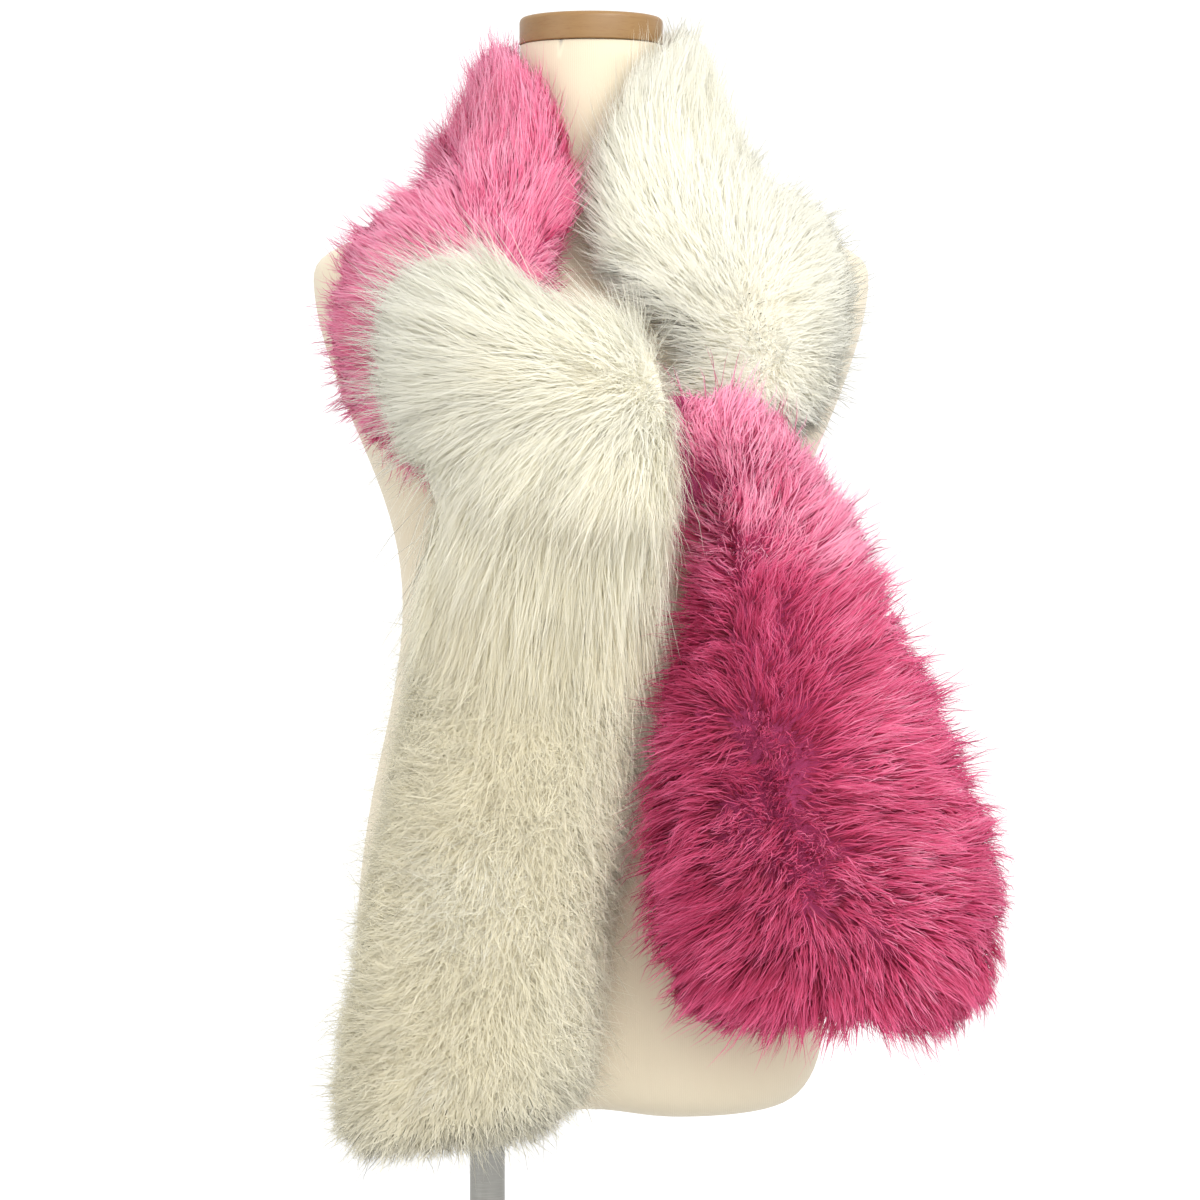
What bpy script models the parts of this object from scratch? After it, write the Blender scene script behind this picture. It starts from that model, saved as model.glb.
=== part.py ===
"""A two-colour faux fur scarf, knotted round the neck of a counter-top dress form.

The form faces -Y, the origin is the middle of the stand's underside, and sizes are in metres.
The scarf is a tube of fur cloth, pink on one half and cream on the other.  Each stretch of it
that shows is one solid, which holds the cloth and reaches as far as its pile does.
"""

import math
from collections import namedtuple

import bmesh
import bpy
import numpy as np
from mathutils import Vector, noise
from mathutils.bvhtree import BVHTree

# Fits
GAP = 0.0003
CLOTH_GAP = 0.0006

# Dress form
FORM_TOP = 0.9870
FORM_POINTS = 44
FORM_STEPS = 2
THIGH_NOTCH = 0.0075
NOTCH_WIDTH = 0.034
NOTCH_REACH = 0.045

# Neck cap
CAP_RADIUS = 0.0490
CAP_HEIGHT = 0.0190
CAP_CENTRE_Y = 0.004
CAP_EDGE = 0.0035

# Stand
BASE_RADIUS = 0.170
BASE_HEIGHT = 0.007
BASE_EDGE = 0.0025
SOCKET_RADIUS = 0.027
SOCKET_HEIGHT = 0.030
POLE_RADIUS = 0.012
POLE_X = -0.071
POLE_Y = 0.008
POLE_TOP = 0.330
ROUND_SEGMENTS = 48

# Scarf
RING_STEP = 0.0110
ACROSS = 12
RAY_LENGTH = 0.60
FINE_STEPS = 24
END_STEPS = 3.0
SETTLE_ROUNDS = 25
SPOT_REACH = 0.008
BACK_BULGE = 0.3
BEND_ROUNDS = 40
BEND_STEP = 0.0006
LEAST_ADVANCE = 0.002
LOCK_HEIGHT = 0.007
LOCK_SIZE = 0.020

# The lengthwise valley of the pink tail: share of the length down it, and depth there
VALLEY = [(0.0, 0.0), (0.3, 0.004), (0.5, 0.016), (0.75, 0.018), (1.0, 0.012)]
VALLEY_PLACE = 0.05
VALLEY_WIDTH = 0.22

FormRow = namedtuple("FormRow", "height half_width half_depth centre_y squareness")
FORM_ROWS = [
    FormRow(0.2590, 0.100, 0.062, 0.010, 2.3),
    FormRow(0.2625, 0.124, 0.082, 0.010, 2.3),
    FormRow(0.2720, 0.143, 0.098, 0.010, 2.3),
    FormRow(0.2950, 0.156, 0.108, 0.011, 2.4),
    FormRow(0.3350, 0.161, 0.112, 0.012, 2.4),
    FormRow(0.4030, 0.160, 0.112, 0.012, 2.4),
    FormRow(0.4720, 0.151, 0.103, 0.009, 2.3),
    FormRow(0.5300, 0.138, 0.092, 0.006, 2.2),
    FormRow(0.5900, 0.129, 0.083, 0.003, 2.2),
    FormRow(0.6425, 0.132, 0.086, 0.001, 2.2),
    FormRow(0.6900, 0.146, 0.097, -0.003, 2.3),
    FormRow(0.7400, 0.167, 0.107, -0.007, 2.4),
    FormRow(0.7850, 0.183, 0.101, 0.000, 2.6),
    FormRow(0.8200, 0.190, 0.087, 0.008, 2.8),
    FormRow(0.8420, 0.187, 0.073, 0.013, 2.7),
    FormRow(0.8580, 0.155, 0.065, 0.014, 2.4),
    FormRow(0.8740, 0.117, 0.061, 0.013, 2.2),
    FormRow(0.8900, 0.080, 0.057, 0.011, 2.1),
    FormRow(0.9080, 0.057, 0.053, 0.009, 2.0),
    FormRow(0.9350, 0.0505, 0.049, 0.006, 2.0),
    FormRow(0.9870, 0.0485, 0.047, 0.004, 2.0),
]

# A path's rows: the solid that the row starts or carries on, the middle line, half the width and
# the thickness with the pile, and the way that the face looks: turn from the front towards +X,
# tilt upwards, and slant of the width's line, in degrees.  A stretch lies on what is behind it,
# and near its middle line where nothing is.
Row = namedtuple("Row", "piece x y z half_width thickness turn tilt slant")
PINK_HALF = [
    Row("pink_neck_stretch", -GAP / 2, 0.052, 0.910, 0.062, 0.036, -180, 24, 0),
    Row("pink_neck_stretch", -0.043, 0.040, 0.912, 0.060, 0.034, -140, 28, 0),
    Row("pink_neck_stretch", -0.060, 0.006, 0.918, 0.056, 0.032, -92, 34, 0),
    Row("pink_neck_stretch", -0.058, -0.030, 0.904, 0.055, 0.035, -50, 36, 0),
    Row("pink_neck_stretch", -0.066, -0.056, 0.866, 0.062, 0.040, -22, 28, 0),
    Row("pink_neck_stretch", -0.090, -0.066, 0.812, 0.076, 0.042, -15, 10, 0),
    Row("pink_neck_stretch", -0.098, -0.072, 0.764, 0.066, 0.038, -12, 0, 0),
    Row("pink_neck_stretch", -0.072, -0.080, 0.730, 0.048, 0.034, -8, 0, 0),
    Row("pink_neck_stretch", -0.024, -0.090, 0.714, 0.042, 0.028, 0, 0, 0),
    Row("pink_tail", 0.022, -0.098, 0.708, 0.040, 0.026, 0, 0, 0),
    Row("pink_tail", 0.066, -0.106, 0.708, 0.040, 0.036, 6, 0, 0),
    Row("pink_tail", 0.098, -0.110, 0.690, 0.042, 0.048, 10, 0, 0),
    Row("pink_tail", 0.114, -0.112, 0.655, 0.056, 0.056, 12, 0, 0),
    Row("pink_tail", 0.125, -0.112, 0.608, 0.069, 0.060, 14, 0, 0),
    Row("pink_tail", 0.132, -0.114, 0.549, 0.089, 0.064, 14, 0, 0),
    Row("pink_tail", 0.141, -0.116, 0.490, 0.105, 0.068, 14, 0, 2),
    Row("pink_tail", 0.152, -0.118, 0.430, 0.120, 0.070, 14, 0, 6),
    Row("pink_tail", 0.157, -0.118, 0.382, 0.119, 0.068, 14, 0, 9),
    Row("pink_tail", 0.161, -0.118, 0.348, 0.108, 0.062, 14, 0, 11),
    Row("pink_tail", 0.165, -0.118, 0.328, 0.084, 0.054, 14, 0, 13),
]
WHITE_HALF = [
    Row("white_neck_stretch", GAP / 2, 0.052, 0.910, 0.062, 0.036, 180, 24, 0),
    Row("white_neck_stretch", 0.043, 0.040, 0.914, 0.060, 0.034, 140, 28, 0),
    Row("white_neck_stretch", 0.060, 0.006, 0.922, 0.056, 0.032, 92, 34, 0),
    Row("white_neck_stretch", 0.058, -0.030, 0.910, 0.056, 0.036, 50, 36, 0),
    Row("white_neck_stretch", 0.062, -0.056, 0.868, 0.067, 0.042, 20, 28, 0),
    Row("white_neck_stretch", 0.084, -0.066, 0.815, 0.088, 0.044, 14, 10, 0),
    Row("white_neck_stretch", 0.092, -0.070, 0.764, 0.068, 0.036, 10, 0, 0),
    Row("white_neck_stretch", 0.068, -0.076, 0.730, 0.045, 0.028, 6, 0, 0),
    Row("white_neck_stretch", 0.026, -0.084, 0.718, 0.040, 0.020, 0, 0, 0),
]
FRONT = [
    Row("white_knot_flap", -0.036, -0.096, 0.790, 0.062, 0.036, -4, 30, 18),
    Row("white_knot_flap", -0.034, -0.104, 0.774, 0.086, 0.048, -4, 22, 18),
    Row("white_knot_flap", -0.032, -0.110, 0.752, 0.099, 0.058, -4, 10, 17),
    Row("white_knot_flap", -0.030, -0.112, 0.722, 0.099, 0.062, -4, 0, 16),
    Row("white_knot_flap", -0.031, -0.108, 0.686, 0.088, 0.060, -4, 0, 14),
    Row("white_knot_flap", -0.033, -0.102, 0.645, 0.081, 0.054, -4, 0, 12),
    Row("white_tail", -0.032, -0.098, 0.602, 0.082, 0.050, -4, 0, 10),
    Row("white_tail", -0.038, -0.096, 0.560, 0.082, 0.048, -6, 0, 6),
    Row("white_tail", -0.046, -0.098, 0.510, 0.082, 0.050, -8, 0, 2),
    Row("white_tail", -0.060, -0.100, 0.440, 0.082, 0.052, -9, 0, 0),
    Row("white_tail", -0.072, -0.104, 0.375, 0.084, 0.054, -10, 0, -5),
    Row("white_tail", -0.080, -0.106, 0.310, 0.088, 0.056, -10, 0, -11),
    Row("white_tail", -0.086, -0.106, 0.272, 0.084, 0.056, -10, 0, -17),
    Row("white_tail", -0.090, -0.104, 0.248, 0.062, 0.052, -10, 0, -20),
]

# From the one next to the form outwards, with which ends are rounded off
LAYING_ORDER = [
    ("white_neck_stretch", (False, False)),
    ("pink_neck_stretch", (False, False)),
    ("white_tail", (False, True)),
    ("pink_tail", (False, True)),
    ("white_knot_flap", (True, False)),
]

# Pieces of one strip of cloth, which meet in a plane
SEWN_ON = [{"pink_neck_stretch", "pink_tail"}, {"white_knot_flap", "white_tail"}]


def clear_scene():
    for item in list(bpy.data.objects):
        bpy.data.objects.remove(item)


def material(name, colour, roughness, metallic=0.0):
    made = bpy.data.materials.new(name)
    made.use_nodes = True
    shader = made.node_tree.nodes["Principled BSDF"]
    shader.inputs["Base Color"].default_value = (*colour, 1.0)
    shader.inputs["Roughness"].default_value = roughness
    shader.inputs["Metallic"].default_value = metallic
    made.diffuse_color = (*colour, 1.0)
    return made


def add_object(name, mesh, finish, group):
    item = bpy.data.objects.new(name, mesh)
    item.data.materials.append(finish)
    group.objects.link(item)
    return item


def smooth_rows(rows, steps):
    """The rows' columns along a Catmull-Rom curve, with that many steps from row to row."""
    points = np.array(rows, float)
    ends = np.vstack([2 * points[0] - points[1], points, 2 * points[-1] - points[-2]])
    found = []
    for i in range(len(points) - 1):
        a, b, c, d = ends[i : i + 4]
        for step in range(steps):
            t = step / steps
            found.append(
                0.5 * (2 * b + (c - a) * t + (2 * a - 5 * b + 4 * c - d) * t**2)
                + 0.5 * (3 * b - a - 3 * c + d) * t**3
            )
    found.append(points[-1])
    return np.array(found)


def form_ring(row):
    """One level section of the dress form, a rounded ellipse."""
    height, half_width, half_depth, centre_y, squareness = row
    angles = np.linspace(0, 2 * math.pi, FORM_POINTS, endpoint=False)
    power = 2 / squareness
    x = half_width * np.sign(np.cos(angles)) * np.abs(np.cos(angles)) ** power
    y = centre_y + half_depth * np.sign(np.sin(angles)) * np.abs(np.sin(angles)) ** power
    low = np.clip(1 - (height - FORM_ROWS[0].height) / NOTCH_REACH, 0, 1)
    z = height + THIGH_NOTCH * low * np.exp(-((x / NOTCH_WIDTH) ** 2))
    return np.column_stack([x, y, z])


def build_form(finish, group):
    """The torso: level sections lofted, with a fan at the neck's top and at the thighs."""
    shape = bmesh.new()
    rings = []
    for row in smooth_rows(FORM_ROWS, FORM_STEPS):
        rings.append([shape.verts.new(point) for point in form_ring(row)])
    for lower, upper in zip(rings, rings[1:]):
        for i in range(FORM_POINTS):
            j = (i + 1) % FORM_POINTS
            shape.faces.new((lower[i], lower[j], upper[j], upper[i]))
    bottom, top = FORM_ROWS[0], FORM_ROWS[-1]
    low_middle = shape.verts.new((0, bottom.centre_y, bottom.height + THIGH_NOTCH))
    high_middle = shape.verts.new((0, top.centre_y, top.height))
    for i in range(FORM_POINTS):
        j = (i + 1) % FORM_POINTS
        shape.faces.new((rings[0][j], rings[0][i], low_middle))
        shape.faces.new((rings[-1][i], rings[-1][j], high_middle))
    bmesh.ops.recalc_face_normals(shape, faces=shape.faces)
    mesh = bpy.data.meshes.new("dress_form")
    shape.to_mesh(mesh)
    shape.free()
    mesh.shade_smooth()
    return add_object("dress_form", mesh, finish, group)


def bore_pole_hole(form, cutters):
    """A blind hole up into the thigh, which the pole stands in."""
    low = FORM_ROWS[0].height - 0.02
    bpy.ops.mesh.primitive_cylinder_add(
        vertices=ROUND_SEGMENTS,
        radius=POLE_RADIUS + GAP,
        depth=POLE_TOP + GAP - low,
        location=(POLE_X, POLE_Y, (POLE_TOP + GAP + low) / 2),
    )
    cutter = bpy.context.object
    cutter.name = "pole_hole_cutter"
    cutter.hide_render = True
    cutter.display_type = "WIRE"
    move_to(cutter, cutters)
    cut = form.modifiers.new("pole_hole", "BOOLEAN")
    cut.operation = "DIFFERENCE"
    cut.object = cutter


def move_to(item, group):
    for owner in list(item.users_collection):
        owner.objects.unlink(item)
    group.objects.link(item)


def turned(name, profile, finish, group, place):
    """A round piece: the outline, from the top down at +X, turned about its own upright axis."""
    mesh = bpy.data.meshes.new(name)
    mesh.from_pydata(
        [(x, 0, z) for x, z in profile],
        [(i, i + 1) for i in range(len(profile) - 1)],
        [],
    )
    item = add_object(name, mesh, finish, group)
    item.location = place
    screw = item.modifiers.new("turn", "SCREW")
    screw.steps = screw.render_steps = ROUND_SEGMENTS
    screw.use_merge_vertices = True
    screw.merge_threshold = 0.00001
    screw.use_smooth_shade = True
    return item


def edge_arc(radius, height, edge):
    """The rounded upper edge of a disc, as outline points from the top face to the side."""
    turns = np.radians([90, 60, 30, 0])
    return [
        (radius - edge + edge * math.cos(a), height - edge + edge * math.sin(a))
        for a in turns
    ]


def build_stand(wood, steel, group):
    """The neck cap, the pole, the socket that holds it and the round base plate."""
    cap = [(0, CAP_HEIGHT), *edge_arc(CAP_RADIUS, CAP_HEIGHT, CAP_EDGE)]
    cap += [(CAP_RADIUS, 0.001), (CAP_RADIUS - 0.001, 0), (0, 0)]
    neck_cap = turned("neck_cap", cap, wood, group, (0, CAP_CENTRE_Y, FORM_TOP + GAP))
    base = [(0, BASE_HEIGHT), *edge_arc(BASE_RADIUS, BASE_HEIGHT, BASE_EDGE)]
    base += [(BASE_RADIUS, 0), (0, 0)]
    turned("base_plate", base, steel, group, (0, 0, 0))
    bore = POLE_RADIUS + GAP
    socket = [(bore, SOCKET_HEIGHT), *edge_arc(SOCKET_RADIUS, SOCKET_HEIGHT, 0.003)]
    socket += [(SOCKET_RADIUS, 0), (bore, 0), (bore, SOCKET_HEIGHT)]
    turned("pole_socket", socket, steel, group, (POLE_X, POLE_Y, BASE_HEIGHT + GAP))
    low = BASE_HEIGHT + GAP
    pole = [(0, POLE_TOP - low), (POLE_RADIUS, POLE_TOP - low), (POLE_RADIUS, 0), (0, 0)]
    turned("pole", pole, steel, group, (POLE_X, POLE_Y, low))
    return neck_cap


def faces_of(items):
    """The points and faces of all the solids, in world space."""
    graph = bpy.context.evaluated_depsgraph_get()
    points, faces = [], []
    for item in items:
        mesh = item.evaluated_get(graph).to_mesh()
        start = len(points)
        points += [item.matrix_world @ v.co for v in mesh.vertices]
        faces += [[start + i for i in p.vertices] for p in mesh.polygons]
    return points, faces


def tree_of(items):
    """One search tree of the solids' faces."""
    return BVHTree.FromPolygons(*faces_of(items))


def ridge_spots(items):
    """Spots on the corners and edges of the solids, where they could come through a face."""
    points, faces = faces_of(items)
    edges = {tuple(sorted(pair)) for face in faces for pair in zip(face, face[1:] + face[:1])}
    return points + [points[a].lerp(points[b], k / 4) for a, b in edges for k in (1, 2, 3)]


def path_rings(rows):
    """Every solid's rings along a path, evenly spaced: place, facing, width way and sizes.

    The ring where one solid follows another is in both, moved apart by the gap at a seam.
    """
    fine = smooth_rows([row[1:] for row in rows], FINE_STEPS)
    turn, tilt, slant = np.radians(fine[:, 5:8]).T
    facing = np.column_stack(
        [np.sin(turn) * np.cos(tilt), -np.cos(turn) * np.cos(tilt), np.sin(tilt)]
    )
    ahead = np.gradient(fine[:, :3], axis=0)
    if abs(rows[0].turn) == 180:
        ahead[0] = (rows[0].x, 0, 0)
    ahead /= np.linalg.norm(ahead, axis=1)[:, None]
    facing -= (facing * ahead).sum(1)[:, None] * ahead
    facing /= np.linalg.norm(facing, axis=1)[:, None]
    wide = np.cross(ahead, facing)
    wide = np.cos(slant)[:, None] * wide - np.sin(slant)[:, None] * ahead
    found = {}
    names = list(dict.fromkeys(row.piece for row in rows))
    for name in names:
        held = [i for i, row in enumerate(rows) if row.piece == name]
        first, last = held[0] * FINE_STEPS, min(held[-1] + 1, len(rows) - 1) * FINE_STEPS
        part = slice(first, last + 1)
        steps = np.linalg.norm(np.diff(fine[part, :3], axis=0), axis=1)
        along = np.concatenate([[0], np.cumsum(steps)])
        stations = np.linspace(0, along[-1], round(along[-1] / RING_STEP) + 1)
        columns = np.column_stack([fine[part, :5], facing[part], wide[part]])
        rings = np.column_stack([np.interp(stations, along, column) for column in columns.T])
        for way in (slice(5, 8), slice(8, 11)):
            rings[:, way] /= np.linalg.norm(rings[:, way], axis=1)[:, None]
        narrow_bends(rings)
        normals = np.cross(rings[:, 5:8], rings[:, 8:11])
        if name != names[0]:
            rings[0, :3] -= GAP / 2 * normals[0] * np.sign(normals[0] @ (rings[0, :3] - rings[1, :3]))
        if name != names[-1]:
            rings[-1, :3] -= GAP / 2 * normals[-1] * np.sign(normals[-1] @ (rings[-1, :3] - rings[-2, :3]))
        found[name] = rings
    return found


def narrow_bends(rings):
    """Draws in the rim inside each bend until both rims go forward all the way."""
    ahead = np.gradient(rings[:, :3], axis=0)
    ahead /= np.linalg.norm(ahead, axis=1)[:, None]
    for _ in range(BEND_ROUNDS):
        for side in (-1, 1):
            rim = rings[:, :3] + side * rings[:, 3, None] * rings[:, 8:11]
            moved = (np.diff(rim, axis=0) * (ahead[1:] + ahead[:-1]) / 2).sum(1)
            tight = np.zeros(len(rings))
            tight[1:] += moved < LEAST_ADVANCE
            tight[:-1] += moved < LEAST_ADVANCE
            drawn = BEND_STEP * np.convolve(tight, (0.5, 1, 0.5), mode="same")
            rings[:, 3] -= drawn / 2
            rings[:, :3] -= side * drawn[:, None] / 2 * rings[:, 8:11]


def spread_out(heights, reach):
    """Each height raised to the most within reach steps of it."""
    padded = np.pad(heights, reach, mode="edge")
    rows, columns = heights.shape
    shifts = range(2 * reach + 1)
    return np.max([padded[i : i + rows, j : j + columns] for i in shifts for j in shifts], axis=0)


def evened(heights):
    """Each height averaged with its neighbours."""
    padded = np.pad(heights, 1, mode="edge")
    rows, columns = heights.shape
    shifts = range(3)
    return np.mean([padded[i : i + rows, j : j + columns] for i in shifts for j in shifts], axis=0)


def lying_heights(rings, across, dome, below):
    """How far along its facing each point of the grid lies on the solids below.

    Where nothing is behind, the back bulges by a share of the thickness.
    """
    heights = -BACK_BULGE * rings[:, 4, None] * dome
    for i, ring in enumerate(rings):
        place, half, facing, wide = ring[:3], ring[3], ring[5:8], ring[8:11]
        for j, u in enumerate(across):
            start = place + u * half * wide + RAY_LENGTH * facing
            distance = below.ray_cast(Vector(start), Vector(-facing))[3]
            if distance is not None:
                heights[i, j] = max(heights[i, j], RAY_LENGTH - distance)
    return evened(spread_out(heights, 1))


def stretch_mesh(shape, rings, across, heights, rises):
    """Fills the bmesh with a closed body: the back at the heights, the face risen above it."""
    inner, outer = [], []
    for i, ring in enumerate(rings):
        place, half, facing, wide = ring[:3], ring[3], ring[5:8], ring[8:11]
        back, front = [], []
        for j, u in enumerate(across):
            flat = place + u * half * wide
            back.append(shape.verts.new(flat + heights[i, j] * facing))
            if j in (0, len(across) - 1):
                front.append(back[-1])
            else:
                front.append(shape.verts.new(flat + (heights[i, j] + rises[i, j]) * facing))
        inner.append(back)
        outer.append(front)
    last = len(rings) - 1
    for j in range(len(across) - 1):
        for i in range(last):
            shape.faces.new((inner[i][j], inner[i][j + 1], inner[i + 1][j + 1]))
            shape.faces.new((inner[i][j], inner[i + 1][j + 1], inner[i + 1][j]))
            shape.faces.new((outer[i][j], outer[i + 1][j], outer[i + 1][j + 1], outer[i][j + 1]))
        for i in (0, last):
            corners = [inner[i][j], inner[i][j + 1], outer[i][j + 1], outer[i][j]]
            shape.faces.new(list(dict.fromkeys(corners)))
    bmesh.ops.recalc_face_normals(shape, faces=shape.faces)


def lack_at(spot, tree):
    """How much further the spot must move outwards to clear the tree's surface."""
    near, normal, _, distance = tree.find_nearest(spot)
    if (spot - near).dot(normal) < 0:
        return CLOTH_GAP + distance
    return CLOTH_GAP - distance


def locks(rings, across):
    """The uneven height of the pile, which lies in locks."""
    found = np.zeros((len(rings), len(across)))
    for i, ring in enumerate(rings):
        for j, u in enumerate(across):
            place = ring[:3] + u * ring[3] * ring[8:11]
            found[i, j] = LOCK_HEIGHT * noise.noise(Vector(place / LOCK_SIZE))
    return found


def back_lacks(points, rings, spots, seam_count):
    """How much each point of the back must rise to clear the spots that come up through it.

    The first row of faces minds only the first seam_count spots.
    """
    rows, columns = points.shape[:2]
    cells = [(i, j) for i in range(rows - 1) for j in range(columns - 1)]
    starts = [i * columns + j for i, j in cells]
    corners = [(a, a + 1, a + columns + 1) for a in starts]
    corners += [(a, a + columns + 1, a + columns) for a in starts]
    back = BVHTree.FromPolygons([Vector(p) for p in points.reshape(-1, 3)], corners)
    lacks = np.zeros((rows, columns))
    for number, spot in enumerate(spots):
        near, normal, index, distance = back.find_nearest(spot, SPOT_REACH)
        if near is None:
            continue
        i, j = cells[index % len(cells)]
        if i == 0 and number >= seam_count:
            continue
        facing = Vector(rings[i, 5:8])
        above = (spot - near).dot(normal) * (1 if normal.dot(facing) > 0 else -1)
        if distance > CLOTH_GAP and above < 0.9 * distance:
            continue
        lack = CLOTH_GAP + (distance if above > 0 else -distance)
        for a, b in ((i, j), (i + 1, j), (i, j + 1), (i + 1, j + 1)):
            lacks[a, b] = max(lacks[a, b], lack)
    return lacks


def build_stretch(name, rings, under, finish, group, closed_ends=(False, False)):
    """A stretch of the scarf, laid on the solids under it, with a domed outer face."""
    below = tree_of(under)
    at_seam = tree_of(under[:2]) if name.endswith("neck_stretch") else below
    across = np.sin(np.linspace(-math.pi / 2, math.pi / 2, ACROSS + 2))
    dome = (1 - np.abs(across) ** 2.4) ** 0.5
    heights = lying_heights(rings, across, dome, below) + CLOTH_GAP
    ends = np.ones(len(rings))
    for closed, order in zip(closed_ends, (1, -1)):
        if closed:
            reach = np.clip(np.arange(len(rings)) / END_STEPS, 0, 1)[::order]
            ends = np.minimum(ends, 0.25 + 0.75 * np.sqrt(1 - (1 - reach) ** 2))
    rises = (rings[:, 4, None] * ends[:, None] + locks(rings, across)) * dome
    if name == "pink_tail":
        sunk = np.interp(np.linspace(0, 1, len(rings)), *zip(*VALLEY)) * ends
        rises -= sunk[:, None] * np.exp(-(((across - VALLEY_PLACE) / VALLEY_WIDTH) ** 2))
    spots = ridge_spots(under[:2])
    seam_count = len(spots)
    spots += ridge_spots(under[2:])
    if at_seam is below:
        seam_count = len(spots)
    for _ in range(SETTLE_ROUNDS):
        flat = rings[:, None, :3] + across[:, None] * rings[:, 3, None, None] * rings[:, None, 8:11]
        points = flat + heights[:, :, None] * rings[:, None, 5:8]
        lacks = back_lacks(points, rings, spots, seam_count)
        for i in range(len(rings)):
            for j in range(len(across)):
                for k, m in ((0, 0), (1, 0), (0, 1), (1, 1)):
                    if i + k < len(rings) and j + m < len(across):
                        spot = (points[i, j] + points[i + k, j + m]) / 2
                        lack = lack_at(Vector(spot), at_seam if i + k == 0 else below)
                        for a, b in ((i, j), (i + k, j + m)):
                            lacks[a, b] = max(lacks[a, b], lack)
        heights += lacks * 1.05
        if lacks.max() < 0.00002:
            break
    shape = bmesh.new()
    stretch_mesh(shape, rings, across, heights, rises)
    mesh = bpy.data.meshes.new(name)
    shape.to_mesh(mesh)
    shape.free()
    mesh.shade_smooth()
    mesh.set_sharp_from_angle(angle=math.radians(50))
    return add_object(name, mesh, finish, group)


def main():
    clear_scene()
    parts = bpy.data.collections.new("scarf_on_dress_form")
    cutters = bpy.data.collections.new("cutters")
    bpy.context.scene.collection.children.link(parts)
    bpy.context.scene.collection.children.link(cutters)
    jersey = material("form_jersey", (0.80, 0.74, 0.62), 0.85)
    wood = material("cap_wood", (0.55, 0.32, 0.13), 0.5)
    steel = material("stand_steel", (0.62, 0.62, 0.60), 0.3, 1.0)
    pink = material("pink_fur", (0.80, 0.13, 0.32), 0.9)
    cream = material("cream_fur", (0.88, 0.86, 0.74), 0.9)
    form = build_form(jersey, parts)
    bore_pole_hole(form, cutters)
    neck_cap = build_stand(wood, steel, parts)
    rings = {**path_rings(PINK_HALF), **path_rings(WHITE_HALF), **path_rings(FRONT)}
    finishes = {"pink": pink, "white": cream}
    laid = [form, neck_cap]
    for name, ends in LAYING_ORDER:
        under = [item for item in laid if {item.name, name} not in SEWN_ON]
        finish = finishes[name.split("_")[0]]
        laid.append(build_stretch(name, rings[name], under, finish, parts, ends))


main()
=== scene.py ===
"""Faux fur scarf, pink on one half and ivory on the other, knotted on a dress form.

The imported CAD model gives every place.  The stand, the form and its cap are its solids again with
a smooth skin; each stretch of the scarf is made again as a tube of fur cloth with its pile.
"""

import math
from collections import namedtuple

import bmesh
import bpy
import numpy as np
from mathutils import Matrix, Vector, noise
from mathutils.bvhtree import BVHTree
from mathutils.kdtree import KDTree


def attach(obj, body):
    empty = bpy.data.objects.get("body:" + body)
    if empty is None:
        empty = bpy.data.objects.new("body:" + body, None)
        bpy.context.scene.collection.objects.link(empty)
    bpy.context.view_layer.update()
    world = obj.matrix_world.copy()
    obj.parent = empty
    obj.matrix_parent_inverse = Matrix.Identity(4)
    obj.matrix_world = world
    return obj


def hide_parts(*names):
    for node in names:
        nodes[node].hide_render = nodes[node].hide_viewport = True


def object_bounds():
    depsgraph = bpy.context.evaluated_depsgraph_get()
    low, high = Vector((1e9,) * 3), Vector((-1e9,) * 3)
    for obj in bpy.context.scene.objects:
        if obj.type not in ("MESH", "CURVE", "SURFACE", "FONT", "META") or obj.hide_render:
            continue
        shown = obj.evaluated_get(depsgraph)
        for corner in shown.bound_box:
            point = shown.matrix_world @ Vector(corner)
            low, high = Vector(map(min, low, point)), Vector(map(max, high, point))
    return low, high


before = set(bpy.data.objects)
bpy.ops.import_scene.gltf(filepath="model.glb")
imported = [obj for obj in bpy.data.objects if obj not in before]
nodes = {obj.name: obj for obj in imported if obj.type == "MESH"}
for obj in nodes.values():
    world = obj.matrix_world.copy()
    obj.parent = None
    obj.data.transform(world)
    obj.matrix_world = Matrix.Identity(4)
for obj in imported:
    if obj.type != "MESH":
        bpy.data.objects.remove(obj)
cad_low, cad_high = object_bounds()

# Stand: a round steel base plate, a turned socket that the pole is clamped in, and the pole,
# a steel tube that goes up into the form's thigh.  The plate has a grey powder coat, and the
# tube and socket are brushed round their axis.
MERGE_REACH = 0.00001
FLAT_ANGLE = 0.01
SHARP_ANGLE = 0.9


class Field:
    """A shader socket holding a number, which takes part in Python expressions."""

    def __init__(self, socket):
        self.socket = socket

    def math(self, operation, other):
        made = self.socket.node.id_data.nodes.new("ShaderNodeMath")
        made.operation = operation
        for place, value in enumerate((self, other)):
            if isinstance(value, Field):
                made.id_data.links.new(value.socket, made.inputs[place])
            else:
                made.inputs[place].default_value = value
        return Field(made.outputs[0])

    def __add__(self, other):
        return self.math("ADD", other)

    def __mul__(self, other):
        return self.math("MULTIPLY", other)

    __radd__ = __add__
    __rmul__ = __mul__


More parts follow.
